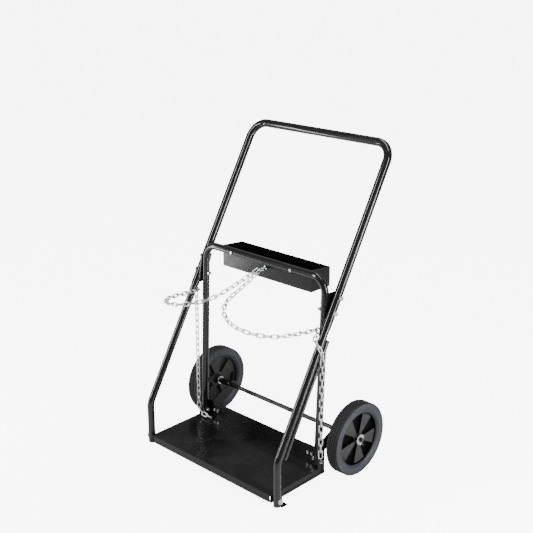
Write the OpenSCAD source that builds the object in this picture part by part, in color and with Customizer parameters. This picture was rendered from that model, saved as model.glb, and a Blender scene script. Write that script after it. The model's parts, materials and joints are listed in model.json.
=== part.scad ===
// Two-bottle gas welding cart: tube frame, base tray, tool tray, two wheels and bottle chains.
// X runs across the cart, Y runs from the front to the wheels, and Z is up from the ground.
// X = 0 is the plane of symmetry. Every Y below is measured from the front posts' axis, and each
// finished node is moved so that the origin lies on the ground in the middle of the cart's length.

/* [Tubes] */
// Outer diameter of the front posts and of the inner frame
post_d = 25.4; // [22:0.1:26]
// Outer diameter of the push handle, which slides over the posts
handle_d = 28.6; // [28.6:0.1:30]
// Wall thickness of every tube
tube_wall = 1.45; // [1.2:0.05:1.5]
// Distance from the centre to each front post's axis
post_x = 309.5; // [300:0.5:320]
// Distance from the centre to each inner leg's axis
leg_x = 277.5; // [268:0.5:278]
// Backward lean of the sloped tubes
slope = 30; // [28:0.5:32]
// Backward lean of the inner frame
leg_lean = 2; // [1:0.5:3]
// Height of the bend in the front posts
bend_z = 165; // [150:5:180]
// Slope length from the bend to the handle's top bar
slope_len = 1088; // [1000:1:1150]
// Height of the inner frame's top bar
bar_z = 710; // [706:1:710]

/* [Base tray] */
// Sheet thickness of the base tray
sheet = 3; // [2:0.5:3]
// Height of the deck that the bottles stand on
deck_z = 46; // [42:1:50]
// Height of the bottom of the tray's skirt
skirt_z = 19; // [16:1:22]
// Height of the top of the rear wall
back_wall_z = 100; // [92:1:110]

/* [Tool tray] */
// Half the length of the tool tray
tool_half = 206; // [180:1:220]
// Depth of the tool tray from front to back
tool_depth = 95; // [80:1:100]
// Height of the underside of the tool tray
tool_z = 642; // [640:1:644]
// Height of the tool tray's front wall
tool_h = 76; // [76:1:80]

/* [Wheels] */
// Outer diameter of the tyres
wheel_d = 258; // [250:1:260]
// Width of the tyres
tyre_w = 44; // [40:1:46]
// Distance from the centre to each wheel's middle plane
wheel_x = 341.2; // [340:0.1:350]
// Y of the axle
axle_y = 356; // [354:1:390]
// Diameter of the axle
axle_d = 16; // [15:0.5:16]

/* [Chains] */
// Wire diameter of the chain links
wire = 3.8; // [3.5:0.1:3.8]
// Outside width of a link
link_w = 16; // [15.5:0.1:17]
// Distance from one link to the next
pitch = 25; // [24.8:0.1:25.2]
// Radius of the chain's path round a bottle
loop_r = 121; // [118:1:125]
// Distance from the centre to the middle of each bottle's place
bay_x = 142; // [138:1:146]
// Y of the middle of each bottle's place
bay_y = 104; // [100:1:108]

/* [Hidden] */
$fn = 64;
eps = 0.2;
post_r = post_d / 2;
handle_r = handle_d / 2;
wheel_r = wheel_d / 2;
axle_r = axle_d / 2;
axle_z = wheel_r;

// Inner frame: a point on a leg's axis at height z
leg_y0 = 232.5;
function leg_y(z) = leg_y0 + z * tan(leg_lean);

// Sloped tubes: lengths are measured from the bend, along the slope
function slope_z(s) = bend_z + s * cos(slope);
function slope_y(s) = s * sin(slope);
cross_s = (leg_y0 + bend_z * tan(leg_lean)) / (sin(slope) - cos(slope) * tan(leg_lean));
upper_s = cross_s + 52;
handle_s0 = cross_s - 55;
post_s1 = cross_s + 85;
middle_y = (slope_y(slope_len) - post_r) / 2;
post_z0 = 14;
bend_r = 60;
handle_bend_r = 60;
bar_bend_r = 50;

// Gusset plate, between the leg and the handle tube
gusset_gap = post_x - handle_r - leg_x - post_r;
gusset_t = gusset_gap - 0.4;
gusset_x = leg_x + post_r + gusset_gap / 2;

// Base tray
tray_x = leg_x + post_r + 0.5 + sheet;
tray_front_y = -post_r;
tray_back_y = leg_y(back_wall_z) + post_r + 0.6 + sheet;
ear_z = 68;
ear_r = 16;
ear_y = leg_y(ear_z);
post_bolt_z = 31;
foot_x0 = tray_x + 0.2;
foot_x1 = post_x - post_r - 0.2;

// Tool tray
bar_y = leg_y(bar_z);
tool_y = bar_y + post_r + 0.6;
tool_sheet = 2;
tool_fall = 8;
tool_bolt_x = 138;
anchor_z = 680;

// Fasteners: [shank diameter, across flats, head height, nut height, washer diameter]
m8 = [8, 13, 5.3, 6.5, 17];
m6 = [6, 10, 4, 5, 12.5];
hole_gap = 0.4;
washer_t = 1.6;

// Axle, from the bracket outwards
bracket_x = 258;
bracket_t = 3.5;
bracket_w = 50;
bracket_bolts = [222, 240];
bracket_bolt_z = 70;
hub_len = 40;
hub_in = wheel_x - hub_len / 2;
hub_out = wheel_x + hub_len / 2;
axle_washer_t = 2.4;
axle_washer_d = 37;
cotter_x = hub_out + 6.5;
axle_end = hub_out + 13.5;
rim_r = 97;

// Chains: both loops start on the anchor's ring, and each ends on its own ring on a post
ring_r = 10;
ring_wire = 5;
anchor_r = 12;
anchor_y = tool_y - 21;
hook_angle = 60;
ring_s = cross_s - 65;
ring_c = [post_x - post_r - 9, slope_y(ring_s) - 8, slope_z(ring_s)];
link_end_r = (link_w - wire) / 2;
link_straight = (pitch + 2 * wire + 0.8 - link_w) / 2;
hook_reach = 8;

// ---- Shared shapes ----

// Colours a node and moves it from the posts' axis to the origin
module placed(tone) color(tone) translate([0, -middle_y, 0]) children();
module black_paint() placed([0.06, 0.06, 0.07]) children();
module zinc() placed([0.75, 0.77, 0.78]) children();
module both_sides() {
  children();
  mirror([1, 0, 0]) children();
}

// Turns a shape drawn along Z so that it runs along X, outwards
module along_x(at) translate(at) rotate([0, 90, 0]) children();
// Turns a shape drawn along Z so that it runs along Y, backwards
module along_y(at) translate(at) rotate([-90, 0, 0]) children();
// Puts a shape drawn along Z onto the sloped tubes' line, starting at the bend
module on_slope() translate([0, 0, bend_z]) rotate([-slope, 0, 0]) children();
// Puts a shape drawn along Z onto the inner frame's line, starting at the ground
module on_leg() translate([0, leg_y0, 0]) rotate([-leg_lean, 0, 0]) children();

// A quarter bend and two straights on each side: an upside-down U of round bar
module round_u(half, z0, z1, r, d) {
  for (turn = [0, 180]) rotate([0, 0, turn]) {
    translate([half, 0, z0]) cylinder(d = d, h = z1 - r - z0);
    translate([half - r, 0, z1 - r]) rotate([90, 0, 0])
      rotate_extrude(angle = 90) translate([r, 0]) circle(d = d);
  }
  along_x([r - half, 0, z1]) cylinder(d = d, h = 2 * (half - r));
}

module tube_u(half, z0, z1, r, d) {
  difference() {
    round_u(half, z0, z1, r, d);
    round_u(half, z0 - 1, z1, r, d - 2 * tube_wall);
  }
}

module bolt(size, length) {
  translate([0, 0, -size[2]]) cylinder(d = size[1] / cos(30), h = size[2], $fn = 6);
  cylinder(d = size[0], h = length);
}

module nut(size) {
  difference() {
    cylinder(d = size[1] / cos(30), h = size[3], $fn = 6);
    translate([0, 0, -1]) cylinder(d = size[0] + 0.1, h = size[3] + 2);
  }
}

module washer(outer, inner, t) {
  difference() {
    cylinder(d = outer, h = t);
    translate([0, 0, -1]) cylinder(d = inner, h = t + 2);
  }
}

module hole_x(at, size, length) along_x(at) cylinder(d = size[0] + hole_gap, h = length);
module hole_y(at, size, length) along_y(at) cylinder(d = size[0] + hole_gap, h = length);

// ---- Base tray ----

module tray_ear() {
  translate([tray_x - sheet, ear_y - ear_r, deck_z - sheet])
    cube([sheet, 2 * ear_r, ear_z - deck_z + sheet]);
  along_x([tray_x - sheet, ear_y, ear_z]) cylinder(r = ear_r, h = sheet);
}

module base_tray() {
  notch = 8;
  lip = 11;
  hem_h = 8;
  hem_t = 1.4;
  hem_y = 46;
  depth = tray_back_y - tray_front_y;
  black_paint() difference() {
    union() {
      translate([-tray_x, tray_front_y, deck_z - sheet]) cube([2 * tray_x, depth, sheet]);
      translate([notch - tray_x, tray_front_y, skirt_z])
        cube([2 * (tray_x - notch), sheet, deck_z - skirt_z]);
      translate([notch - tray_x, tray_front_y, skirt_z]) cube([2 * (tray_x - notch), lip, sheet]);
      translate([-tray_x, tray_back_y - sheet, deck_z - sheet])
        cube([2 * tray_x, sheet, back_wall_z - deck_z + sheet]);
      both_sides() {
        translate([tray_x - sheet, tray_front_y, skirt_z]) cube([sheet, depth, deck_z - skirt_z]);
        translate([tray_x - sheet, hem_y, skirt_z])
          cube([sheet + hem_t, tray_back_y - hem_y, hem_h]);
        tray_ear();
      }
    }
    both_sides() {
      hole_x([tray_x - sheet - 1, 0, post_bolt_z], m8, sheet + 2);
      hole_x([tray_x - sheet - 1, ear_y, ear_z], m8, sheet + 2);
      for (x = bracket_bolts) hole_y([x, tray_back_y - sheet - 1, bracket_bolt_z], m6, sheet + 2);
    }
  }
}

// ---- Front posts, handle and inner frame ----

// The post's bar: upright, then a bend, then the slope
module post_bar(d, z0, s1) {
  tangent = bend_r * tan(slope / 2);
  translate([0, 0, z0]) cylinder(d = d, h = bend_z - tangent - z0);
  translate([0, bend_r, bend_z - tangent]) rotate([90, 0, -90])
    rotate_extrude(angle = slope) translate([bend_r, 0]) circle(d = d);
  on_slope() translate([0, 0, tangent]) cylinder(d = d, h = s1 - tangent);
}

module chain_ring() {
  translate(ring_c) rotate([90, 0, 0])
    rotate_extrude() translate([ring_r, 0]) circle(d = ring_wire, $fn = 32);
}

module post() {
  black_paint() difference() {
    union() {
      translate([post_x, 0, 0]) post_bar(post_d, post_z0, post_s1);
      chain_ring();
    }
    translate([post_x, 0, 0]) post_bar(post_d - 2 * tube_wall, post_z0 - 1, post_s1 + 1);
    hole_x([post_x - post_r - 1, 0, post_bolt_z], m8, post_d + 2);
    for (s = [cross_s, upper_s])
      hole_x([post_x - post_r - 1, slope_y(s), slope_z(s)], m8, post_d + 2);
  }
}

module right_post() post();
module left_post() mirror([1, 0, 0]) post();

module post_plugs() {
  plug_h = 3;
  bore = post_d - 2 * tube_wall - eps;
  placed([0.1, 0.1, 0.1]) both_sides() {
    translate([post_x, 0, post_z0 - plug_h - 0.1]) cylinder(d = post_d, h = plug_h);
    translate([post_x, 0, post_z0 - 0.2]) cylinder(d = bore, h = 9);
  }
}

module handle() {
  black_paint() difference() {
    on_slope() tube_u(post_x, handle_s0, slope_len, handle_bend_r, handle_d);
    both_sides() for (s = [cross_s, upper_s])
      hole_x([post_x - handle_r - 1, slope_y(s), slope_z(s)], m8, handle_d + 2);
  }
}

module inner_frame() {
  foot_z = (deck_z + 3) / cos(leg_lean);
  black_paint() difference() {
    on_leg() round_u(leg_x, foot_z, bar_z / cos(leg_lean), bar_bend_r, post_d);
    on_leg() round_u(leg_x, foot_z - 1, bar_z / cos(leg_lean), bar_bend_r, post_d - 2 * tube_wall);
    both_sides() {
      hole_x([leg_x - post_r - 1, ear_y, ear_z], m8, post_d + 2);
      hole_x([leg_x - post_r - 1, slope_y(cross_s), slope_z(cross_s)], m8, post_d + 2);
      hole_y([tool_bolt_x, bar_y - post_r - 1, bar_z], m6, post_d + 2);
    }
  }
}

module gusset_outline() {
  r = 6;
  hull() {
    for (p = [[slope_y(cross_s) - 15, -30], [slope_y(cross_s) + 2, -30], [slope_y(cross_s) - 2, 56],
              [slope_y(cross_s) + 36, 54]])
      translate([p[0], slope_z(cross_s) + p[1]]) circle(r = r, $fn = 32);
  }
}

module gusset() {
  black_paint() difference() {
    translate([gusset_x - gusset_t / 2, 0, 0]) rotate([90, 0, 90])
      linear_extrude(gusset_t) gusset_outline();
    for (s = [cross_s, upper_s])
      hole_x([gusset_x - gusset_t, slope_y(s), slope_z(s)], m8, 2 * gusset_t);
  }
}

module right_gusset() gusset();
module left_gusset() mirror([1, 0, 0]) gusset();

// A strap bolted between post and tray, with a pad that stands on the ground
module foot() {
  pad_t = 3;
  pad_w = 24;
  black_paint() difference() {
    union() {
      translate([foot_x0, -10, skirt_z + 3]) cube([foot_x1 - foot_x0, 50, 20]);
      translate([foot_x0, 17, 0]) cube([foot_x1 - foot_x0, 22, skirt_z + 5]);
      translate([foot_x0, 15, 0]) cube([pad_w, 26, pad_t]);
    }
    hole_x([foot_x0 - 1, 0, post_bolt_z], m8, 5);
  }
}

module right_foot() foot();
module left_foot() mirror([1, 0, 0]) foot();

// ---- Filler rod holder, behind the right-hand post ----

holder_d = 22.2;
holder_back = post_r + holder_d / 2 + 0.1;
holder_s0 = 20;
holder_len = 400;

module in_holder() translate([post_x, 0, 0]) on_slope() translate([0, holder_back, holder_s0]) children();

module rod_holder() {
  black_paint() in_holder() washer(holder_d, holder_d - 2 * tube_wall, holder_len);
}

module rod_holder_cap() {
  cap_t = 2.5;
  bore = holder_d - 2 * tube_wall - eps;
  placed([0.1, 0.1, 0.1]) in_holder() {
    translate([0, 0, -cap_t - 0.1]) cylinder(d = holder_d, h = cap_t);
    translate([0, 0, -0.2]) cylinder(d = bore, h = 8);
  }
}

// ---- Tool tray ----

module tool_box(grow, floor_z, top) {
  half = tool_half - grow;
  y0 = tool_y + grow;
  y1 = tool_y + tool_depth - grow;
  translate([-half, 0, 0]) rotate([90, 0, 90]) linear_extrude(2 * half)
    polygon([[y0, floor_z], [y1, floor_z], [y1, tool_z + tool_h - tool_fall + top],
             [y0, tool_z + tool_h + top]]);
}

module tool_tray() {
  black_paint() difference() {
    tool_box(0, tool_z, 0);
    tool_box(tool_sheet, tool_z + tool_sheet, 20);
    both_sides() hole_y([tool_bolt_x, tool_y - 1, bar_z], m6, tool_sheet + 2);
    hole_y([0, tool_y - 1, anchor_z], m8, tool_sheet + 2);
  }
}

// ---- Axle and wheels ----

module axle() {
  chamfer = 1.5;
  cotter_d = 4.4;
  placed([0.2, 0.2, 0.21]) difference() {
    union() {
      along_x([-axle_end + chamfer, axle_y, axle_z]) cylinder(r = axle_r, h = 2 * (axle_end - chamfer));
      both_sides() along_x([axle_end - chamfer, axle_y, axle_z])
        cylinder(r1 = axle_r, r2 = axle_r - chamfer, h = chamfer);
    }
    both_sides() translate([cotter_x, axle_y, axle_z - axle_d]) cylinder(d = cotter_d, h = 2 * axle_d);
  }
}

module axle_bracket() {
  y0 = tray_back_y + 0.1;
  boss_r = 18;
  z0 = deck_z + 2;
  z1 = back_wall_z - 1;
  black_paint() difference() {
    union() {
      translate([bracket_x - bracket_w, y0, z0]) cube([bracket_w, bracket_t, z1 - z0]);
      translate([bracket_x - bracket_t, 0, 0]) rotate([90, 0, 90]) linear_extrude(bracket_t)
        polygon([[y0, z0], [y0, z1], [axle_y - 7, axle_z + 16.5], [axle_y + 7, axle_z - 16.5]]);
      along_x([bracket_x - bracket_t, axle_y, axle_z]) cylinder(r = boss_r, h = bracket_t);
    }
    along_x([bracket_x - 2 * bracket_t, axle_y, axle_z]) cylinder(r = axle_r + 0.15, h = 3 * bracket_t);
    for (x = bracket_bolts) hole_y([x, y0 - 1, bracket_bolt_z], m6, bracket_t + 2);
  }
}

module right_axle_bracket() axle_bracket();
module left_axle_bracket() mirror([1, 0, 0]) axle_bracket();

module axle_spacers() {
  x0 = bracket_x + eps;
  black_paint() both_sides() along_x([x0, axle_y, axle_z])
    washer(22, axle_d + 0.5, hub_in - axle_washer_t - 2 * eps - x0);
}

module axle_washers() {
  zinc() both_sides() {
    along_x([hub_in - axle_washer_t - eps, axle_y, axle_z])
      washer(30, axle_d + 0.5, axle_washer_t);
    along_x([hub_out + eps, axle_y, axle_z])
      washer(axle_washer_d, axle_d + 0.5, axle_washer_t);
  }
}

// A split pin through the axle: an eye on top, a shank, and two legs bent apart below
module cotter_pin() {
  shank_d = 3.8;
  leg_d = 1.8;
  eye_r = 3.6;
  reach = axle_r + 2.5;
  translate([0, 0, reach + eye_r - 0.4]) rotate([0, 90, 0])
    rotate_extrude() translate([eye_r, 0]) circle(d = leg_d, $fn = 24);
  translate([0, 0, -reach]) cylinder(d = shank_d, h = 2 * reach);
  for (side = [-1, 1]) translate([0, side * 0.5, 1 - reach]) rotate([180 + side * 35, 0, 0])
    cylinder(d = leg_d, h = 13 + side * 3);
}

module cotter_pins() zinc() both_sides() translate([cotter_x, axle_y, axle_z]) cotter_pin();

// Places a wheel part drawn round X, with its outer face towards +X
module at_wheel() translate([wheel_x, axle_y, axle_z]) rotate([90, 0, 90]) children();

// A wedge between two radii and two heights, centred on an angle
module wedge(mid, width, r0, r1, h0, h1) {
  rotate([0, 0, mid - width / 2]) rotate_extrude(angle = width)
    translate([r0, h0]) square([r1 - r0, h1 - h0]);
}

module hub() {
  disc_t = 6;
  rim_t = 4;
  rim_w = 34;
  pad_h = 13;
  pad_t = 3;
  pad_r = rim_r - rim_t - 3;
  pad_0 = 59;
  boss_r = 17;
  placed([0.09, 0.09, 0.1]) at_wheel() difference() {
    union() {
      difference() {
        union() {
          translate([0, 0, -disc_t / 2]) cylinder(r = rim_r - 1, h = disc_t);
          for (i = [0:4]) wedge(pad_0 + 72 * i, 36, boss_r - 3, pad_r, 0, pad_h);
        }
        for (i = [0:4]) wedge(pad_0 + 72 * i, 28, 30, pad_r - pad_t, -disc_t, pad_h - pad_t);
      }
      translate([0, 0, -hub_len / 2]) cylinder(r = boss_r, h = hub_len);
      translate([0, 0, -rim_w / 2]) washer(2 * rim_r, 2 * (rim_r - rim_t), rim_w);
    }
    translate([0, 0, -hub_len]) cylinder(r = axle_r + 3, h = 2 * hub_len);
  }
}

module right_hub() hub();
module left_hub() mirror([1, 0, 0]) hub();

// Half of the tyre's section: flat bead, bulged side wall and rounded shoulder
function shoulder(r, cx, cy) = [for (a = [0:10:90]) [cy + r * sin(a), cx + r * cos(a)]];

module tyre_half() {
  w = tyre_w / 2;
  bead = rim_r + 0.1;
  arc = 4;
  polygon(concat([[bead, -0.01], [bead, w - 4], [bead + 4, w - 1], [bead + 9, w]],
                 shoulder(arc, w - arc, wheel_r - arc), [[wheel_r, -0.01]]));
}

module tyre() {
  groove_w = 3;
  groove_h = 2.6;
  placed([0.2, 0.2, 0.23]) at_wheel() difference() {
    rotate_extrude($fn = 128) {
      tyre_half();
      mirror([0, 1]) tyre_half();
    }
    for (z = [-9, 0, 9]) translate([0, 0, z - groove_w / 2])
      washer(wheel_d + 4, wheel_d - 2 * groove_h, groove_w);
  }
}

module right_tyre() tyre();
module left_tyre() mirror([1, 0, 0]) tyre();

module wheel_bush() {
  running = 0.05;
  zinc() at_wheel() translate([0, 0, -hub_len / 2])
    washer(axle_d + 6 - 0.04, axle_d + 2 * running, hub_len);
}

module right_wheel_bush() wheel_bush();
module left_wheel_bush() mirror([1, 0, 0]) wheel_bush();

// ---- Fasteners ----

head_x = post_x + handle_r + eps / 2 + washer_t;
module bolt_in(at, size, length) translate(at) rotate([0, -90, 0]) bolt(size, length);
module nut_in(at, size) translate(at) rotate([0, -90, 0]) nut(size);

module handle_bolts() zinc() both_sides()
  bolt_in([head_x, slope_y(upper_s), slope_z(upper_s)], m8, 46);

module cross_bolts() zinc() both_sides()
  bolt_in([head_x, slope_y(cross_s), slope_z(cross_s)], m8, 75);

module post_bolts() zinc() both_sides()
  bolt_in([post_x + post_r + 0.1 + washer_t, 0, post_bolt_z], m8, 42);

module ear_bolts() zinc() both_sides()
  bolt_in([tray_x + 0.1 + washer_t, ear_y, ear_z], m8, 42);

module bracket_bolts() zinc() both_sides() for (x = bracket_bolts)
  along_y([x, tray_back_y - sheet - 0.1, bracket_bolt_z]) bolt(m6, 14);

module tool_tray_bolts() zinc() both_sides()
  along_y([tool_bolt_x, bar_y - post_r - 0.1, bar_z]) bolt(m6, post_d + 11);

module washer_in(at, size) along_x(at) washer(size[4], size[0] + hole_gap, washer_t - 0.1);

module frame_washers() zinc() both_sides() {
  for (s = [cross_s, upper_s]) washer_in([post_x + handle_r + eps / 2, slope_y(s), slope_z(s)], m8);
  washer_in([post_x + post_r + 0.1, 0, post_bolt_z], m8);
  washer_in([tray_x + 0.1, ear_y, ear_z], m8);
}

module large_nuts() zinc() {
  both_sides() {
    nut_in([gusset_x - gusset_t / 2 - 0.1, slope_y(upper_s), slope_z(upper_s)], m8);
    nut_in([leg_x - post_r - 0.1, slope_y(cross_s), slope_z(cross_s)], m8);
    nut_in([tray_x - sheet - 0.1, 0, post_bolt_z], m8);
    nut_in([leg_x - post_r - 0.1, ear_y, ear_z], m8);
  }
  along_y([0, tool_y + tool_sheet + 0.1, anchor_z]) nut(m8);
}

module small_nuts() zinc() both_sides() {
  for (x = bracket_bolts) along_y([x, tray_back_y + bracket_t + 0.2, bracket_bolt_z]) nut(m6);
  along_y([tool_bolt_x, tool_y + tool_sheet + 0.1, bar_z]) nut(m6);
}

// ---- Chains ----

// The eye bolt that both loops start from
module chain_anchor() {
  collar = 14;
  zinc() {
    translate([0, anchor_y, anchor_z])
      rotate_extrude() translate([anchor_r, 0]) circle(d = ring_wire, $fn = 32);
    along_y([0, anchor_y + anchor_r, anchor_z]) cylinder(d = m8[0], h = 24);
    along_y([0, tool_y - 2.6, anchor_z]) cylinder(d = collar, h = 2.4);
  }
}

// One link, standing in the XZ plane with its length along Z
module link() {
  for (end = [-1, 1]) translate([0, 0, end * link_straight]) rotate([end * 90, 0, 0])
    rotate_extrude(angle = 180) translate([link_end_r, 0]) circle(d = wire, $fn = 24);
  for (side = [-1, 1]) translate([side * link_end_r, 0, -link_straight])
    cylinder(d = wire, h = 2 * link_straight, $fn = 24);
}

// A link at a point, with its length along a direction, turned about that direction
module link_at(p, d, turn) {
  translate(p) rotate([0, acos(d[2] / norm(d)), atan2(d[1], d[0])]) rotate([0, 0, turn]) link();
}

// The loop's path from above: a straight to the bottle, an arc round its front, a straight to the ring
loop_start = [anchor_r * cos(hook_angle), anchor_y - anchor_r * sin(hook_angle)];
loop_end = [ring_c[0] - ring_r, ring_c[1]];
bay = [bay_x, bay_y];
start_v = loop_start - bay;
end_v = loop_end - bay;
start_t = sqrt(pow(norm(start_v), 2) - pow(loop_r, 2));
end_t = sqrt(pow(norm(end_v), 2) - pow(loop_r, 2));
arc_a0 = atan2(start_v[1], start_v[0]) + atan2(start_t, loop_r);
arc_a1 = atan2(end_v[1], end_v[0]) + 360 - atan2(end_t, loop_r);
arc_len = (arc_a1 - arc_a0) * PI / 180 * loop_r;
loop_len = start_t + arc_len + end_t;
loop_sag = 22;

function on_arc(a) = bay + loop_r * [cos(a), sin(a)];
function mix(p, q, u) = p + (q - p) * u;
function loop_xy(s) =
  s < start_t ? mix(loop_start, on_arc(arc_a0), s / start_t)
  : s < start_t + arc_len ? on_arc(arc_a0 + (s - start_t) / loop_r * 180 / PI)
  : mix(on_arc(arc_a1), loop_end, (s - start_t - arc_len) / end_t);
function loop_height(s) =
  let (u = s / loop_len) mix(anchor_z, ring_c[2], u) - 4 * loop_sag * u * (1 - u);
function loop_point(s) = let (p = loop_xy(s)) [p[0], p[1], loop_height(s)];

// An odd number of gaps makes the first link stand and the last one lie, as their rings need
loop_rise = norm([loop_len, ring_c[2] - anchor_z]) / loop_len * 1.01;
loop_span = loop_len - 2 * hook_reach;
loop_gaps = 2 * ceil((loop_span * loop_rise / pitch - 1) / 2) + 1;

module chain_loop() {
  for (i = [0:loop_gaps]) {
    s = hook_reach + i * loop_span / loop_gaps;
    d = loop_point(s + 1) - loop_point(s - 1);
    link_at(loop_point(s), d, i % 2 == 0 ? 0 : 90);
  }
}

module right_chain() zinc() chain_loop();
module left_chain() zinc() mirror([1, 0, 0]) chain_loop();

// The free ends of the chains
tail_top = [ring_c[0], ring_c[1], ring_c[2] - ring_r];
tail_step = pitch - 1.6;
module tail_link(p0, p1, turn) link_at((p0 + p1) / 2, p1 - p0, turn);

// The right one wraps over the front of the post and then hangs beside it
right_tail_links = 20;
wrap_drop = 60;
wrap_r = post_x - tail_top[0];
wrap_len = norm([PI * (wrap_r + 2), wrap_drop]);
wrap_s = tail_top[1] * sin(slope) + (tail_top[2] - bend_z) * cos(slope);
wrap_turns = [0, 105, 15, 120, 105];
function by_post(r, a, s) =
  [post_x, slope_y(s), slope_z(s)] + r * [cos(a), -sin(a) * cos(slope), sin(a) * sin(slope)];
function wrap_point(t) =
  let (f = min(1, t / wrap_len), fall = max(0, t - wrap_len))
  by_post(wrap_r + 0.5 * f + 3.5 * sin(180 * f), 180 * (1 - f), wrap_s - wrap_drop * f) - [0, 0, fall];

module right_chain_tail() {
  zinc() for (i = [0:right_tail_links - 1]) {
    t = hook_reach - 1 - tail_step / 2 + i * tail_step;
    tail_link(wrap_point(t), wrap_point(t + tail_step), i < 5 ? wrap_turns[i] : i % 2 == 0 ? 45 : 135);
  }
}

// The left one hangs inside its post, reaches the deck and turns inwards along it
left_tail_links = 23;
turn_r = 30;
lie_links = 2;
lie_z = deck_z + 3 + wire / 2 + link_end_r * cos(45);
turn_z = lie_z + turn_r;
function tail_point(t) =
  let (hang = tail_top[2] - turn_z, arc = turn_r * PI / 2, a = (t - hang) / arc * 90)
  t < hang ? tail_top - [0, 0, t]
  : t < hang + arc ? [tail_top[0] - turn_r * (1 - cos(a)), tail_top[1], turn_z - turn_r * sin(a)]
  : [tail_top[0] - turn_r - (t - hang - arc), tail_top[1], lie_z];

module left_chain_tail() {
  zinc() mirror([1, 0, 0]) for (i = [0:left_tail_links - 1]) {
    t = hook_reach - tail_step / 2 + i * tail_step;
    left = left_tail_links - 1 - i;
    twist = left < lie_links + 4 ? 45 * min(1, (lie_links + 4 - left) / 4) : 0;
    tail_link(tail_point(t), tail_point(t + tail_step), (i % 2 == 0 ? 90 : 0) + twist);
  }
}

base_tray();
left_post();
right_post();
post_plugs();
handle();
inner_frame();
left_gusset();
right_gusset();
tool_tray();
left_foot();
right_foot();
rod_holder();
rod_holder_cap();
axle();
left_axle_bracket();
right_axle_bracket();
axle_spacers();
axle_washers();
cotter_pins();
left_hub();
right_hub();
left_tyre();
right_tyre();
left_wheel_bush();
right_wheel_bush();
handle_bolts();
cross_bolts();
post_bolts();
ear_bolts();
bracket_bolts();
tool_tray_bolts();
frame_washers();
large_nuts();
small_nuts();
chain_anchor();
left_chain();
right_chain();
left_chain_tail();
right_chain_tail();
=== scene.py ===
"""Looks for the welding cart: materials, finer meshes over the CAD frame, studio and camera."""

import json
import math

import bmesh
import bpy
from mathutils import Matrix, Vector


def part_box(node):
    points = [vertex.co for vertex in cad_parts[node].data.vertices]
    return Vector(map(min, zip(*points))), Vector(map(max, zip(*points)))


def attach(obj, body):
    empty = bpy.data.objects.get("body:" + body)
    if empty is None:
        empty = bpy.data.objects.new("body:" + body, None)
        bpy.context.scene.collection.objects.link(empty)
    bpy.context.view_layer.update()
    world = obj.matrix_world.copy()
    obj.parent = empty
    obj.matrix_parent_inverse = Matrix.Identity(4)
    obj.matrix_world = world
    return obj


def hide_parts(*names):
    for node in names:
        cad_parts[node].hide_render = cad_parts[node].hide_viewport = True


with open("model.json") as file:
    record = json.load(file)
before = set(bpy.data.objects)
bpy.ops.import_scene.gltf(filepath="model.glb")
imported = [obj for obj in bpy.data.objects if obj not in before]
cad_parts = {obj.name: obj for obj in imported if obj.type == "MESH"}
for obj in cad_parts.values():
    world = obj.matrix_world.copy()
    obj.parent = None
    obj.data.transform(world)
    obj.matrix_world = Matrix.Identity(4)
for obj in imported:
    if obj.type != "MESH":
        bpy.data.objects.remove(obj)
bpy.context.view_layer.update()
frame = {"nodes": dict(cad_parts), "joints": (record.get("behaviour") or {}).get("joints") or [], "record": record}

MM = 0.001
RECORD = frame["record"]
NODES = frame["nodes"]
BODY_OF = {node: body for body, members in RECORD["behaviour"]["bodies"].items() for node in members}
SLOT_OF = {part["node"]: part["material_slot"] for part in RECORD["subparts"]}
SIDES = ("left", "right")


# ---- Node-tree helpers ----

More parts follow.
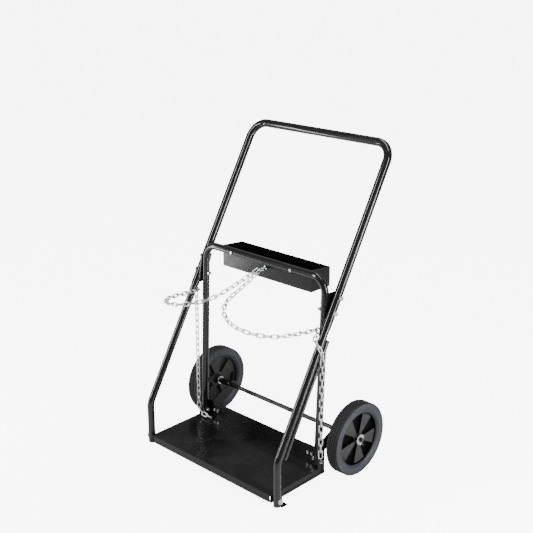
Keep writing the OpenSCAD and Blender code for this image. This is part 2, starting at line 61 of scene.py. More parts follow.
class Shader:
    """A material's node tree, with short calls for the nodes used here."""

    def __init__(self, name):
        self.material = bpy.data.materials.new(name)
        self.material.use_nodes = True
        self.nodes = self.material.node_tree.nodes
        self.links = self.material.node_tree.links
        self.bsdf = self.nodes["Principled BSDF"]
        self.coords = self.nodes.new("ShaderNodeTexCoord").outputs["Object"]

    def put(self, socket, value):
        """A value is another node's output or a constant."""
        if isinstance(value, bpy.types.NodeSocket):
            self.links.new(value, socket)
        else:
            socket.default_value = value

    def put_color(self, socket, color):
        self.put(socket, color if isinstance(color, bpy.types.NodeSocket) else (*color, 1.0))

    def noise(self, scale, detail=3.0, rough=0.55, coords=None):
        node = self.nodes.new("ShaderNodeTexNoise")
        node.inputs["Scale"].default_value = scale
        node.inputs["Detail"].default_value = detail
        node.inputs["Roughness"].default_value = rough
        self.links.new(coords or self.coords, node.inputs["Vector"])
        return node.outputs["Fac"]

    def math(self, operation, a, b=0.0):
        node = self.nodes.new("ShaderNodeMath")
        node.operation = operation
        self.put(node.inputs[0], a)
        self.put(node.inputs[1], b)
        return node.outputs[0]

    def span(self, value, lo, hi, out_lo=0.0, out_hi=1.0):
        """A smooth step from out_lo to out_hi while the value goes from lo to hi."""
        node = self.nodes.new("ShaderNodeMapRange")
        node.interpolation_type = "SMOOTHSTEP"
        for socket, entry in zip(node.inputs, (value, lo, hi, out_lo, out_hi)):
            self.put(socket, entry)
        return node.outputs[0]

    def mix(self, factor, a, b):
        node = self.nodes.new("ShaderNodeMix")
        node.data_type = "RGBA"
        self.put(node.inputs["Factor"], factor)
        for key, color in (("A", a), ("B", b)):
            self.put_color(next(s for s in node.inputs if s.name == key and s.type == "RGBA"), color)
        return next(s for s in node.outputs if s.type == "RGBA")

    def axis(self, vector, name):
        node = self.nodes.new("ShaderNodeSeparateXYZ")
        self.links.new(vector, node.inputs[0])
        return node.outputs[name]

    def edges(self, radius):
        """1 within a radius of sharp edges and 0 elsewhere."""
        bevel = self.nodes.new("ShaderNodeBevel")
        bevel.samples = 4
        bevel.inputs["Radius"].default_value = radius
        dot = self.nodes.new("ShaderNodeVectorMath")
        dot.operation = "DOT_PRODUCT"
        self.links.new(bevel.outputs[0], dot.inputs[0])
        self.links.new(self.nodes.new("ShaderNodeNewGeometry").outputs["True Normal"], dot.inputs[1])
        return self.span(dot.outputs["Value"], 0.99, 0.75)

    def facing_up(self):
        """1 on level tops, where dust settles, and 0 on walls."""
        normal = self.nodes.new("ShaderNodeNewGeometry").outputs["Normal"]
        return self.span(self.axis(normal, "Z"), 0.5, 0.98)

    def bump(self, height, strength, distance):
        node = self.nodes.new("ShaderNodeBump")
        node.inputs["Strength"].default_value = strength
        node.inputs["Distance"].default_value = distance
        self.put(node.inputs["Height"], height)
        self.links.new(node.outputs[0], self.bsdf.inputs["Normal"])

    def surface(self, color, roughness, metallic=0.0, coat=0.0, coat_roughness=0.1, specular=0.5):
        self.put_color(self.bsdf.inputs["Base Color"], color)
        self.put(self.bsdf.inputs["Roughness"], roughness)
        self.put(self.bsdf.inputs["Metallic"], metallic)
        self.put(self.bsdf.inputs["Coat Weight"], coat)
        self.put(self.bsdf.inputs["Coat Roughness"], coat_roughness)
        self.put(self.bsdf.inputs["Specular IOR Level"], specular)
        return self.material


# ---- Materials ----

def powder_coat(name, coat, coat_roughness):
    """Black paint with a fine orange peel, a little dust on level tops and paler worn edges."""
    s = Shader(name)
    worn = s.math("MULTIPLY", s.edges(1.2 * MM), s.span(s.noise(45, 4), 0.52, 0.66))
    dust = s.math("MULTIPLY", s.facing_up(), s.span(s.noise(14, 5), 0.4, 0.75, 0.0, 0.16))
    clean = s.mix(s.noise(6, 2), (0.003, 0.003, 0.0035), (0.006, 0.006, 0.0065))
    dusty = s.mix(dust, clean, (0.055, 0.054, 0.052))
    color = s.mix(worn, dusty, (0.03, 0.03, 0.032))
    roughness = s.math("ADD", s.span(s.noise(30, 3), 0.3, 0.7, 0.2, 0.3), s.math("MULTIPLY", dust, 0.6))
    s.bump(s.noise(300, 2, 0.45), 0.08, 0.05 * MM)
    return s.surface(color, roughness, coat=coat, coat_roughness=coat_roughness, specular=0.12)


def shade(color, factor):
    return tuple(c * factor for c in color)


def matt_plastic(name, color, specular=0.35):
    """Moulded plastic with a fine grain and paler edges."""
    s = Shader(name)
    worn = s.math("MULTIPLY", s.edges(0.8 * MM), 0.5)
    base = s.mix(s.span(s.noise(25, 4), 0.3, 0.7), color, shade(color, 1.7))
    s.bump(s.noise(1400, 2, 0.5), 0.3, 0.08 * MM)
    roughness = s.span(s.noise(60, 3), 0.3, 0.7, 0.5, 0.62)
    return s.surface(s.mix(worn, base, shade(color, 2.6)), roughness, specular=specular)


def tyre_rubber():
    """Blue-grey side walls that turn darker and rougher towards the tread."""
    s = Shader("tyre_rubber")
    lo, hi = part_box("right_tyre")
    middle = (lo + hi) / 2
    y = s.math("SUBTRACT", s.axis(s.coords, "Y"), middle.y)
    z = s.math("SUBTRACT", s.axis(s.coords, "Z"), middle.z)
    radius = s.math("SQRT", s.math("ADD", s.math("MULTIPLY", y, y), s.math("MULTIPLY", z, z)))
    outer = (hi.z - lo.z) / 2
    tread = s.span(radius, outer - 5 * MM, outer - 2.5 * MM)
    wall = s.mix(s.span(s.noise(18, 4), 0.3, 0.7), (0.016, 0.0175, 0.025), (0.024, 0.026, 0.035))
    dark = s.mix(s.noise(90, 3), (0.007, 0.007, 0.008), (0.018, 0.018, 0.02))
    scuff = s.span(s.noise(140, 5), 0.55, 0.72, 0.0, 0.35)
    color = s.mix(scuff, s.mix(tread, wall, dark), (0.045, 0.045, 0.047))
    s.bump(s.math("ADD", s.noise(900, 3), s.noise(160, 2)), 0.35, 0.12 * MM)
    return s.surface(color, s.span(tread, 0.0, 1.0, 0.5, 0.78), specular=0.4)


def zinc_plate(name, color, dull):
    """Bright plating with grime in patches. dull is added to its roughness."""
    s = Shader(name)
    tint = s.mix(s.span(s.noise(70, 4), 0.35, 0.65), color, shade(color, 0.82))
    grime = s.span(s.noise(240, 5), 0.58, 0.7, 0.0, 0.25)
    base = s.mix(grime, tint, (0.22, 0.21, 0.2))
    s.bump(s.noise(1500, 3), 0.25, 0.05 * MM)
    return s.surface(base, s.span(s.noise(160, 4), 0.3, 0.7, 0.2 + dull, 0.36 + dull), metallic=1.0)


def dark_steel():
    """Drawn bar with fine lines along x."""
    s = Shader("dark_axle_steel")
    stretched = s.nodes.new("ShaderNodeVectorMath")
    stretched.operation = "MULTIPLY"
    stretched.inputs[1].default_value = (0.06, 1.0, 1.0)
    s.links.new(s.coords, stretched.inputs[0])
    lines = s.noise(900, 3, coords=stretched.outputs[0])
    color = s.mix(s.span(s.noise(40, 5), 0.35, 0.7), (0.018, 0.018, 0.02), (0.05, 0.048, 0.046))
    s.bump(lines, 0.25, 0.06 * MM)
    return s.surface(color, s.span(lines, 0.3, 0.7, 0.28, 0.42), metallic=0.7, coat=0.15)


PAINT = powder_coat("black_powder_coat", coat=0.8, coat_roughness=0.08)
SHEET_PAINT = powder_coat("satin_sheet_coat", coat=0.3, coat_roughness=0.2)
PLUG = matt_plastic("black_plug_plastic", (0.012, 0.012, 0.012))
HUB = matt_plastic("grey_wheel_plastic", (0.012, 0.012, 0.013))
# Painted shade: the wheel plastic made near-black for the sunk places between the pads and inside the rim, where
# shade falls.
HUB_PAINTED_SHADE = matt_plastic("wheel_recess_painted_shade", (0.0008, 0.0008, 0.0009), specular=0.04)
RUBBER = tyre_rubber()
ZINC = zinc_plate("bright_zinc", (0.66, 0.68, 0.7), dull=0.0)
CHAIN = zinc_plate("chain_zinc", (0.78, 0.8, 0.82), dull=0.04)
AXLE = dark_steel()

FINISHES = {
    "black_paint": PAINT,
    "black_plastic": PLUG,
    "wheel_plastic": HUB,
    "tyre_rubber": RUBBER,
    "zinc": ZINC,
    "axle_steel": AXLE,
}


def dress_cad_nodes():
    """Every CAD node takes the finish of its slot in the record, and chain a brighter zinc."""
    for node, slot in SLOT_OF.items():
        materials = NODES[node].data.materials
        materials.clear()
        materials.append(CHAIN if "chain" in node else FINISHES[slot])


# ---- Mesh helpers ----

def link(name, data):
    """A new object in the scene."""
    obj = bpy.data.objects.new(name, data)
    bpy.context.scene.collection.objects.link(obj)
    return obj


def add_piece(name, bm, body, slot, nodes, materials, sharp):
    """A finished bmesh becomes a piece that rides on a body and stands for some CAD nodes.

    Edges that turn by more than sharp degrees are shaded as creases.
    """
    bmesh.ops.recalc_face_normals(bm, faces=bm.faces)
    mesh = bpy.data.meshes.new(name)
    bm.to_mesh(mesh)
    bm.free()
    for material in materials:
        mesh.materials.append(material)
    mesh.polygons.foreach_set("use_smooth", [True] * len(mesh.polygons))
    mesh.set_sharp_from_angle(angle=math.radians(sharp))
    obj = link(name, mesh)
    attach(obj, body)
    if nodes:
        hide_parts(*nodes)
    return obj


def stand_in(node, bm, materials, sharp):
    """A finer mesh for one CAD node, on the same body."""
    add_piece("fine_" + node, bm, BODY_OF[node], SLOT_OF[node], [node], materials, sharp)


def skin(bm, rings, place, closed=True, paint=None):
    """Quads between rings of points.

    place turns a point into the frame, and paint picks the material of the face at (ring, column).
    """
    grid = [[bm.verts.new(place(p)) for p in ring] for ring in rings]
    count = len(rings[0])
    steps = range(len(grid)) if closed else range(len(grid) - 1)
    for i in steps:
        here, there = grid[i], grid[(i + 1) % len(grid)]
        for j in range(count):
            k = (j + 1) % count
            face = bm.faces.new((here[j], here[k], there[k], there[j]))
            if paint:
                face.material_index = paint(i, j)
    return grid


def skin_closed(bm, rings, place):
    """An open skin with a face over each end."""
    grid = skin(bm, rings, place, closed=False)
    bm.faces.new(grid[0])
    bm.faces.new(grid[-1])


def frame_of(axis, across):
    """Three unit vectors: across, its partner and the axis."""
    axis = Vector(axis).normalized()
    across = (Vector(across) - Vector(across).dot(axis) * axis).normalized()
    return across, axis.cross(across), axis


def placer(origin, axis, across):
    """Turns a point along (across, its partner, the axis) into the frame."""
    u, v, w = frame_of(axis, across)
    origin = Vector(origin)
    return lambda p: origin + u * p[0] + v * p[1] + w * p[2]


def circle(radius, height, count):
    """A ring of points around the axis."""
    angles = [math.tau * i / count for i in range(count)]
    return [(radius * math.cos(a), radius * math.sin(a), height) for a in angles]


def welded_copy(node):
    """The CAD node's own mesh with coincident corners joined."""
    bm = bmesh.new()
    bm.from_mesh(NODES[node].data)
    bmesh.ops.remove_doubles(bm, verts=bm.verts, dist=0.002 * MM)
    return bm


def islands(node):
    """The (low, high) corners of each separate solid's box in a CAD node, from left to right."""
    bm = welded_copy(node)
    left = set(bm.verts)
    boxes = []
    while left:
        stack = [left.pop()]
        group = []
        while stack:
            v = stack.pop()
            group.append(v.co.copy())
            for e in v.link_edges:
                other = e.other_vert(v)
                if other in left:
                    left.discard(other)
                    stack.append(other)
        boxes.append((Vector([min(c[k] for c in group) for k in range(3)]),
                      Vector([max(c[k] for c in group) for k in range(3)])))
    bm.free()
    return sorted(boxes, key=lambda box: tuple(round(c, 5) for c in box[0]))


def middle_of(box):
    return (box[0] + box[1]) / 2


# ---- Sheet metal and plugs: the CAD shape with folded or cut edges rounded ----

EDGE_RADII = {
    "base_tray": 0.7 * MM,
    "tool_tray": 0.6 * MM,
    "left_gusset": 0.5 * MM,
    "right_gusset": 0.5 * MM,
    "left_foot": 0.5 * MM,
    "right_foot": 0.5 * MM,
    "left_axle_bracket": 0.6 * MM,
    "right_axle_bracket": 0.6 * MM,
    "post_plugs": 0.5 * MM,
    "rod_holder_cap": 0.5 * MM,
}
COPLANAR = math.radians(0.4)
EDGE_ANGLE = math.radians(30)


def rounded(node):
    """The CAD node's own solids, with their sharp edges rounded."""
    bm = welded_copy(node)
    bmesh.ops.dissolve_limit(bm, angle_limit=COPLANAR, verts=bm.verts, edges=bm.edges)
    edges = [e for e in bm.edges if e.is_manifold and e.calc_face_angle(0.0) > EDGE_ANGLE]
    bmesh.ops.bevel(bm, geom=edges, offset=EDGE_RADII[node], offset_type="OFFSET", segments=2, profile=0.5,
                    affect="EDGES", clamp_overlap=True)
    bmesh.ops.triangulate(bm, faces=[f for f in bm.faces if len(f.verts) > 4])
    slot = SLOT_OF[node]
    finish = SHEET_PAINT if slot == "black_paint" else FINISHES[slot]
    obj = add_piece(node + "_rounded", bm, BODY_OF[node], slot, [node], [finish], sharp=32)
    normals = obj.modifiers.new("face_normals", "WEIGHTED_NORMAL")
    normals.keep_sharp = True


# ---- Wheels ----

def wheel_place(side):
    """Turns (across, up, outwards) at the wheel's centre into the frame."""
    centre = middle_of(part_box(side + "_tyre"))
    sign = 1 if side == "right" else -1
    return lambda p: centre + Vector((sign * p[2], p[0], p[1]))


def at_angle(radius, angle, out):
    return (radius * math.cos(angle), radius * math.sin(angle), out)


TREAD_DEPTH = 2.6 * MM
RIB_LIP = 0.3 * MM
TREAD_ARC = 3.2 * MM
SMOOTH, INNER_RIB, OUTER_RIB = range(3)
# How deep the slits across each kind of row are
SLIT_DEPTH = {SMOOTH: 0.0, INNER_RIB: 1.1 * MM, OUTER_RIB: 1.7 * MM}
TREAD_BLOCKS = 78
BLOCK_COLUMNS = 6
SLIT_COLUMNS = 2
# The side wall: mm in from the widest place, and share of the way from the tread to the rim. It has
# a step, a sunk band, a raised ring and a slope to the rim.
WALL = [(0.0, 0.17), (0.25, 0.185), (1.1, 0.22), (1.3, 0.26), (1.25, 0.42), (1.05, 0.58), (0.75, 0.68),
        (0.2, 0.72), (0.0, 0.745), (0.0, 0.8), (0.25, 0.83), (1.2, 0.88), (2.6, 0.94), (3.9, 0.985),
        (4.4, 0.997)]


def tyre_half_profile(half_w, outer, inner):
    """(out, radius, kind of row) from the middle of the tread to the rim."""
    floor = outer - TREAD_DEPTH
    lip = outer - RIB_LIP
    ribs = [(1.2, floor, SMOOTH), (1.7, lip, INNER_RIB), (2.2, outer, INNER_RIB), (4.6, outer, INNER_RIB),
            (7.0, outer, INNER_RIB), (7.4, lip, INNER_RIB), (7.9, floor, SMOOTH), (10.1, floor, SMOOTH),
            (10.6, lip, OUTER_RIB), (11.1, outer, OUTER_RIB)]
    profile = [(out * MM, radius, row) for out, radius, row in ribs]
    profile.append((half_w - 2 * TREAD_ARC, outer, OUTER_RIB))
    for turn in range(0, 91, 15):
        a = math.radians(turn)
        row = OUTER_RIB if turn < 60 else SMOOTH
        profile.append((half_w - TREAD_ARC + TREAD_ARC * math.sin(a),
                        outer - TREAD_ARC + TREAD_ARC * math.cos(a), row))
    depth = outer - inner
    profile += [(half_w - dip * MM, outer - depth * fall, SMOOTH) for dip, fall in WALL]
    return profile


def fine_tyre(side):
    """A solid rubber tyre with three grooves, and slits that are staggered from rib to rib."""
    node = side + "_tyre"
    lo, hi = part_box(node)
    inner = HUB_R + 0.1 * MM
    half = tyre_half_profile((hi.x - lo.x) / 2, (hi.z - lo.z) / 2, inner)
    profile = [(-out, radius, row) for out, radius, row in reversed(half)] + half
    columns = TREAD_BLOCKS * BLOCK_COLUMNS
    rings = []
    for out, radius, row in profile:
        shift = BLOCK_COLUMNS // 2 if row == INNER_RIB else 0
        ring = []
        for j in range(columns):
            in_slit = (j + shift) % BLOCK_COLUMNS < SLIT_COLUMNS
            cut = SLIT_DEPTH[row] if in_slit else 0.0
            ring.append(at_angle(radius - cut, math.tau * j / columns, out))
        rings.append(ring)
    bm = bmesh.new()
    skin(bm, rings, wheel_place(side))
    stand_in(node, bm, [RUBBER], sharp=50)


def ramp(points, x):
    """The height at x of straight lines between (x, y) points."""
    for (x0, y0), (x1, y1) in zip(points, points[1:]):
        if x <= x1:
            return y0 + (y1 - y0) * (x - x0) / (x1 - x0)
    return points[-1][1]


HUB_R = 97 * MM
HUB_EDGE = 0.8 * MM
RIM_INSIDE = 93 * MM
RIM_HALF = 17 * MM
BOSS_R = 17 * MM
BORE_R = 11 * MM
# Half the thickness of the web
WEB_HALF = 3 * MM
# Five pads stand up from the web, each one hollow from behind. Angles are in degrees.
PADS = 5
PAD_STEP = 360 // PADS
FIRST_PAD = 59
PAD_TOP = 13 * MM
PAD_EDGE_ANGLE = 17.7
PAD_END_R = 89.3 * MM
# Height of the ridge along a pad's outer end, against the rest of the pad
RIDGE = 1.07
POCKET_DEPTH = 1.25 * (PAD_TOP - WEB_HALF)
# Share of a pad's height or a pocket's depth, by angle from the pad's middle and by radius in mm
PAD_ACROSS = [(0, 1), (16.9, 1), (17.3, 0.985), (17.6, 0.92), (18.2, 0.03), (18.7, 0), (36, 0)]
PAD_ALONG = [(0, 1), (80.5, 1), (81.6, RIDGE), (87.6, RIDGE), (88.6, 1.02), (89.4, 0.93), (90.2, 0.03),
             (90.8, 0), (99, 0)]
POCKET_ACROSS = [(0, 1), (13.4, 1), (14.4, 0), (36, 0)]
POCKET_ALONG = [(0, 0), (29.2, 0), (30.6, 1), (86, 1), (87.4, 0), (99, 0)]
# Where the mesh has its columns, in degrees from a pad's middle, and its rows, in mm from the centre
HALF_COLUMNS = [0, 4, 8, 12, 13.4, 14.4, 16, 16.9, 17.3, 17.6, 18.2, 18.7, 20.5, 24, 28, 32]
FRONT_ROWS = [17.6, 19, 24, 30, 40, 50, 60, 70, 78, 80.5, 81.6, 84.5, 87.6, 88.6, 89.4, 90.2, 90.8, 92.4]
BACK_ROWS = [92.4, 90, 87.4, 86, 75, 60, 45, 30.6, 29.2, 22, 17.6]


def web_front(r, offset):
    return WEB_HALF + (PAD_TOP - WEB_HALF) * ramp(PAD_ACROSS, offset) * ramp(PAD_ALONG, r) / RIDGE


def web_back(r, offset):
    return -WEB_HALF + POCKET_DEPTH * ramp(POCKET_ACROSS, offset) * ramp(POCKET_ALONG, r)


def fine_hub(side):
    """A one-piece moulded wheel: a boss, a web with five raised hollow pads, and a rim."""
    node = side + "_hub"
    half_len = (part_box(node)[1].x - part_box(node)[0].x) / 2
    steps = sorted(set(HALF_COLUMNS + [-o for o in HALF_COLUMNS] + [PAD_STEP // 2]))
    columns = [(math.radians(FIRST_PAD + PAD_STEP * i + o), abs(o)) for i in range(PADS) for o in steps]
    sections = []
    radii = []
    kinds = []

    def row(radius, height, kind="plain"):
        """height is a constant, or a function of the angle from a pad's middle."""
        rise = height if callable(height) else lambda o: height
        sections.append([at_angle(radius, a, rise(o)) for a, o in columns])
        radii.append(radius)
        kinds.append(kind)

    row(BORE_R, half_len)
    row(BOSS_R - HUB_EDGE, half_len)
    row(BOSS_R - 0.2 * HUB_EDGE, half_len - 0.3 * HUB_EDGE)
    row(BOSS_R, half_len - HUB_EDGE)
    for r in FRONT_ROWS:
        row(r * MM, lambda o, r=r: web_front(r, o), "front")
    # The rim's inner wall takes the painted shade.
    row(RIM_INSIDE, WEB_HALF + HUB_EDGE, "deep")
    row(RIM_INSIDE, RIM_HALF - HUB_EDGE)
    row(RIM_INSIDE + HUB_EDGE, RIM_HALF)
    row(HUB_R - HUB_EDGE, RIM_HALF)
    row(HUB_R, RIM_HALF - HUB_EDGE)
    row(HUB_R, HUB_EDGE - RIM_HALF)
    row(HUB_R - HUB_EDGE, -RIM_HALF)
    row(RIM_INSIDE + HUB_EDGE, -RIM_HALF)
    row(RIM_INSIDE, HUB_EDGE - RIM_HALF)
    row(RIM_INSIDE, -WEB_HALF - HUB_EDGE)
    for r in BACK_ROWS:
        row(r * MM, lambda o, r=r: web_back(r, o))
    row(BOSS_R, HUB_EDGE - half_len)
    row(BOSS_R - HUB_EDGE, -half_len)
    row(BORE_R, -half_len)

    def paint(i, j):
        """1, the near-black plastic that paints shade, on the front's sunk places, and 0 elsewhere."""
        if kinds[i] != "front":
            return int(kinds[i] == "deep")
        k = (j + 1) % len(columns)
        off_pad = max(columns[j][1], columns[k][1]) > PAD_EDGE_ANGLE
        return int(off_pad or radii[i] > PAD_END_R)

    bm = bmesh.new()
    skin(bm, sections, wheel_place(side), paint=paint)
    # The second material paints shade into the sunk places of the front.
    stand_in(node, bm, [HUB, HUB_PAINTED_SHADE], sharp=38)


# ---- Fasteners ----

M8 = {"shank": 8 * MM, "flats": 13 * MM, "head": 5.3 * MM, "pitch": 1.25 * MM}
M6 = {"shank": 6 * MM, "flats": 10 * MM, "head": 4 * MM, "pitch": 1.0 * MM}
HEX_COLUMNS = 48
# The flat circle that a 30 degree chamfer leaves on a head or nut, against the width over the flats
CROWN = 0.97
CHAMFER = math.tan(math.radians(30))
THREAD_LENGTH = 20 * MM
# Share of a short bolt's shank that has no thread
PLAIN_SHARE = 0.3
ROWS_PER_TURN = 5


def hex_ring(flats, height, chamfered=False):
    """A hexagon with many points; a turned chamfer lowers its corners."""
    ring = []
    for i in range(HEX_COLUMNS):
        a = math.tau * i / HEX_COLUMNS
        inside = (a + math.pi / 6) % (math.pi / 3) - math.pi / 6
        radius = flats / 2 / math.cos(abs(abs(inside) - math.pi / 6))
        drop = max(0.0, radius - flats / 2 * CROWN) * CHAMFER if chamfered else 0.0
        ring.append((radius * math.cos(a), radius * math.sin(a), height - drop))
    return ring


def thread_ring(shank, pitch, z, start):
    """One row of a thread that starts from the plain shank: a saw-tooth that turns with the height."""
    fade = min(1.0, (z - start) / pitch)
    ring = []
    for i in range(HEX_COLUMNS):
        phase = (z / pitch - i / HEX_COLUMNS) % 1.0
        radius = shank - pitch * 0.5 * abs(2 * phase - 1) * fade
        a = math.tau * i / HEX_COLUMNS
        ring.append((radius * math.cos(a), radius * math.sin(a), z))
    return ring


def hex_bolt(bm, origin, axis, across, size, length):
    """The head stands behind the origin, and the shank runs forwards from it.

    The head has a shallow dish on top and a round face below.
    """
    flats, shank, head, pitch = size["flats"], size["shank"] / 2, size["head"], size["pitch"]
    crown = flats / 2 * CROWN
    dish = 0.25 * MM
    face = 0.3 * MM
    corner = 0.35 * MM
    rings = [circle(crown * 0.5, dish - head, HEX_COLUMNS),
             circle(crown * 0.56, -head, HEX_COLUMNS),
             circle(crown, -head, HEX_COLUMNS),
             [(x, y, -z) for x, y, z in hex_ring(flats, head, chamfered=True)],
             hex_ring(flats, -corner),
             circle(crown, -face, HEX_COLUMNS),
             circle(crown, 0.0, HEX_COLUMNS),
             circle(shank, 0.0, HEX_COLUMNS)]
    start = max(PLAIN_SHARE, 1 - THREAD_LENGTH / length) * length
    z = start
    while z < length - pitch:
        rings.append(thread_ring(shank, pitch, z, start))
        z += pitch / ROWS_PER_TURN
    rings.append(circle(shank - 0.6 * pitch, length - 0.7 * pitch, HEX_COLUMNS))
    rings.append(circle(shank - pitch, length, HEX_COLUMNS))
    skin_closed(bm, rings, placer(origin, axis, across))


def hex_nut(bm, origin, axis, across, size, height):
    """A nut with a chamfer at both ends of its bore and on its outer corners."""
    flats = size["flats"]
    crown = flats / 2 * CROWN
    bore = size["shank"] / 2 + 0.06 * MM
    lead = 0.5 * MM
    rings = [circle(bore + lead, 0.0, HEX_COLUMNS),
             circle(crown, 0.0, HEX_COLUMNS),
             [(x, y, height - z) for x, y, z in hex_ring(flats, height, chamfered=True)],
             hex_ring(flats, height, chamfered=True),
             circle(crown, height, HEX_COLUMNS),
             circle(bore + lead, height, HEX_COLUMNS),
             circle(bore, height - lead, HEX_COLUMNS),
             circle(bore, lead, HEX_COLUMNS)]
    skin(bm, rings, placer(origin, axis, across))


def turned_ring(bm, box, bore, edge):
    """A washer or bush around x that fills a box, with softly rounded rims."""
    low, high = box
    outer = (high.y - low.y) / 2
    half = (high.x - low.x) / 2
    count = 72
    rings = [circle(bore + edge, half, count),
             circle(outer - edge, half, count),
             circle(outer - 0.3 * edge, half - 0.3 * edge, count),
             circle(outer, half - edge, count),
             circle(outer, edge - half, count),
             circle(outer - 0.3 * edge, 0.3 * edge - half, count),
             circle(outer - edge, -half, count),
             circle(bore + edge, -half, count),
             circle(bore, edge - half, count),
             circle(bore, half - edge, count)]
    skin(bm, rings, placer(middle_of(box), (1, 0, 0), (0, 0, 1)))


def bolts_along_x(node, size):
    """Bolts whose heads face outwards on each side."""
    bm = bmesh.new()
    for box in islands(node):
        low, high = box
        middle = middle_of(box)
        out = 1 if middle.x > 0 else -1
        end = high.x if out > 0 else low.x
        origin = Vector((end - out * size["head"], middle.y, middle.z))
        hex_bolt(bm, origin, (-out, 0, 0), (0, 0, 1), size, high.x - low.x - size["head"])
    stand_in(node, bm, [ZINC], sharp=28)


def bolts_along_y(node, size):
    """Bolts whose heads face the front."""
    bm = bmesh.new()
    for box in islands(node):
        low, high = box
        middle = middle_of(box)
        origin = Vector((middle.x, low.y + size["head"], middle.z))
        hex_bolt(bm, origin, (0, 1, 0), (1, 0, 0), size, high.y - low.y - size["head"])
    stand_in(node, bm, [ZINC], sharp=28)


def nuts(node, size):
    """A nut's axis is its box's shorter side, of x and y."""
    bm = bmesh.new()
    for box in islands(node):
        low = box[0]
        side = box[1] - low
        middle = middle_of(box)
        if side.x < side.y:
            hex_nut(bm, Vector((low.x, middle.y, middle.z)), (1, 0, 0), (0, 0, 1), size, side.x)
        else:
            hex_nut(bm, Vector((middle.x, low.y, middle.z)), (0, 1, 0), (1, 0, 0), size, side.y)
    stand_in(node, bm, [ZINC], sharp=28)


def rings_along_x(node, bore, edge, finish=ZINC):
    """Washers, bushes or spacer tubes."""
    bm = bmesh.new()
    for box in islands(node):
        turned_ring(bm, box, bore, edge)
    stand_in(node, bm, [finish], sharp=40)


def sweep(bm, points, radius):
    """A round wire along a path, closed at both ends."""
    sides = 14
    angles = [math.tau * k / sides for k in range(sides)]
    across = Vector((1, 0, 0))
    rings = []
    for i, p in enumerate(points):
        ahead = points[min(i + 1, len(points) - 1)] - points[max(i - 1, 0)]
        across, partner, _ = frame_of(ahead, across)
        rings.append([p + across * radius * math.cos(a) + partner * radius * math.sin(a) for a in angles])
    skin_closed(bm, rings, lambda p: p)


PIN_WIRE = 0.9 * MM


def split_pin_path(x):
    """One wire folded double: a bent end, up through the axle, round the eye and down to the other end."""
    low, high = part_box("axle")
    middle = middle_of((low, high))
    reach = (high.z - low.z) / 2 + 2.2 * MM
    eye = 3.6 * MM
    spread, drop = 0.55, 0.75
    halves = []
    for side, tail in ((-1, 10 * MM), (1, 15 * MM)):
        bend = [Vector((x, middle.y + side * (PIN_WIRE + tail * t * t * spread),
                        middle.z - reach - tail * drop * t))
                for t in [k / 6 for k in range(6, -1, -1)]]
        straight = [Vector((x, middle.y + side * PIN_WIRE, middle.z + reach * (k / 3 - 1)))
                    for k in range(1, 7)]
        halves.append(bend + straight)
    centre = Vector((x, middle.y, middle.z + reach + eye))
    turns = [math.radians(a) for a in range(-165, 166, 15)]
    loop = [centre + Vector((0, eye * math.sin(a), -eye * math.cos(a))) for a in turns]
    return halves[0] + loop + halves[1][::-1]


def split_pins(node):
    pin_x = max(middle_of(box).x for box in islands(node))
    bm = bmesh.new()
    for x in (-pin_x, pin_x):
        sweep(bm, split_pin_path(x), PIN_WIRE)
    stand_in(node, bm, [ZINC], sharp=60)


def weld_beads():
    """A lumpy fillet where each chain ring meets its post, beside the axis of the chain's free end."""
    outwards, upwards = 10.4 * MM, 10 * MM
    bead = Vector((2.6, 3.6, 6.2)) * MM
    bm = bmesh.new()
    for joint in frame["joints"]:
        if not joint["name"].endswith("tail_swing"):
            continue
        ring = Vector(joint["pos_m"])
        out = 1 if ring.x > 0 else -1
        centre = ring + Vector((out * outwards, 0, upwards))
        ball = bmesh.ops.create_uvsphere(bm, u_segments=24, v_segments=16, radius=1.0)
        for v in ball["verts"]:
            angle = math.atan2(v.co.y, v.co.z)
            lump = 1 + 0.08 * math.sin(9 * angle) + 0.05 * math.cos(5 * angle + v.co.x * 3)
            v.co = centre + Vector((v.co.x * bead.x, v.co.y * bead.y * lump, v.co.z * bead.z * lump))
    add_piece("chain_ring_welds", bm, "frame", "black_paint", [], [PAINT], sharp=60)


def build_pieces():
    for node in EDGE_RADII:
        rounded(node)
    for side in SIDES:
        fine_tyre(side)
        fine_hub(side)
        rings_along_x(side + "_wheel_bush", bore=8.05 * MM, edge=0.3 * MM)
    for node in ("handle_bolts", "cross_bolts", "post_bolts", "ear_bolts"):
        bolts_along_x(node, M8)
    for node in ("bracket_bolts", "tool_tray_bolts"):
        bolts_along_y(node, M6)
    nuts("large_nuts", M8)
    nuts("small_nuts", M6)
    rings_along_x("frame_washers", bore=4.2 * MM, edge=0.2 * MM)
    rings_along_x("axle_washers", bore=8.25 * MM, edge=0.35 * MM)
    rings_along_x("axle_spacers", bore=8.25 * MM, edge=0.3 * MM, finish=PAINT)
    split_pins("cotter_pins")
    weld_beads()


# ---- Studio ----

# Name, place, size (width, height) and power in watts
LIGHTS = [
    ("key", (-1.4, -2.6, 2.2), (0.45, 2.2), 90),
    ("side", (3.0, 0.0, 1.5), (0.3, 2.4), 75),
    ("top", (0.2, 0.4, 3.4), (2.4, 0.6), 45),
    ("low_left", (-1.25, -0.95, 0.55), (0.14, 1.1), 9),
    ("low_right", (1.4, 0.3, 0.55), (0.1, 1.1), 12),
]
LIT_POINT = Vector((0.0, -0.05, 0.5))
FLOOR_HALF = 30.0
# The floor and the world look white, but light the cart only a little
FLOOR_GLOW = 7.0
WORLD_SEEN = 7.5
WORLD_LIGHT = 0.3


def aim(obj, place, direction):
    """Puts a lamp or camera somewhere and points it along a direction."""
    obj.location = place
    obj.rotation_euler = direction.to_track_quat("-Z", "Y").to_euler()


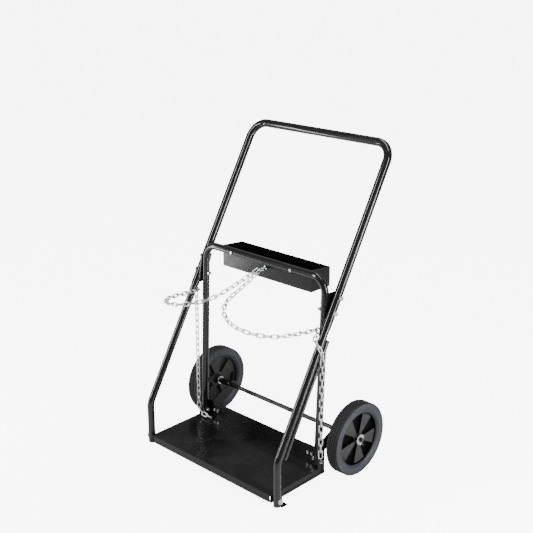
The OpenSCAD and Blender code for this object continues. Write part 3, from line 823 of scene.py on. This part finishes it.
def area_light(name, place, size, power):
    data = bpy.data.lights.new(name, "AREA")
    data.shape = "RECTANGLE"
    data.size, data.size_y = size
    data.energy = power
    lamp = link(name, data)
    lamp.visible_camera = False
    aim(lamp, place, LIT_POINT - Vector(place))


def seen_by_camera(nodes):
    """1 for what the camera sees directly, and 0 for reflections and bounced light."""
    return nodes.new("ShaderNodeLightPath").outputs["Is Camera Ray"]


def make_floor():
    mesh = bpy.data.meshes.new("floor")
    corners = [(x * FLOOR_HALF, y * FLOOR_HALF, 0) for x, y in ((-1, -1), (1, -1), (1, 1), (-1, 1))]
    mesh.from_pydata(corners, [], [(0, 1, 2, 3)])
    s = Shader("pale_floor")
    s.surface(s.mix(s.noise(3), (0.86, 0.86, 0.86), (0.88, 0.88, 0.88)), 0.75)
    s.put_color(s.bsdf.inputs["Emission Color"], (1, 1, 1))
    glow = s.math("MULTIPLY", seen_by_camera(s.nodes), FLOOR_GLOW)
    s.put(s.bsdf.inputs["Emission Strength"], glow)
    mesh.materials.append(s.material)
    link("floor", mesh)


def make_world():
    world = bpy.data.worlds.new("studio")
    world.use_nodes = True
    nodes, links = world.node_tree.nodes, world.node_tree.links
    background = nodes["Background"]
    background.inputs["Color"].default_value = (1, 1, 1, 1)
    strength = nodes.new("ShaderNodeMapRange")
    strength.inputs["To Min"].default_value = WORLD_LIGHT
    strength.inputs["To Max"].default_value = WORLD_SEEN
    links.new(seen_by_camera(nodes), strength.inputs["Value"])
    links.new(strength.outputs[0], background.inputs["Strength"])
    bpy.context.scene.world = world


def make_camera():
    azimuth, elevation = math.radians(43.55), math.radians(18.6)
    distance = 3.3
    target = Vector((-0.011, 0.022, 0.678))
    back = Vector((math.sin(azimuth) * math.cos(elevation), -math.cos(azimuth) * math.cos(elevation),
                   math.sin(elevation)))
    data = bpy.data.cameras.new("camera")
    data.sensor_width = 36.0
    data.lens = 65.3
    camera = link("camera", data)
    aim(camera, target + back * distance, -back)
    bpy.context.scene.camera = camera


dress_cad_nodes()
build_pieces()
make_floor()
make_world()
for light in LIGHTS:
    area_light(*light)
make_camera()
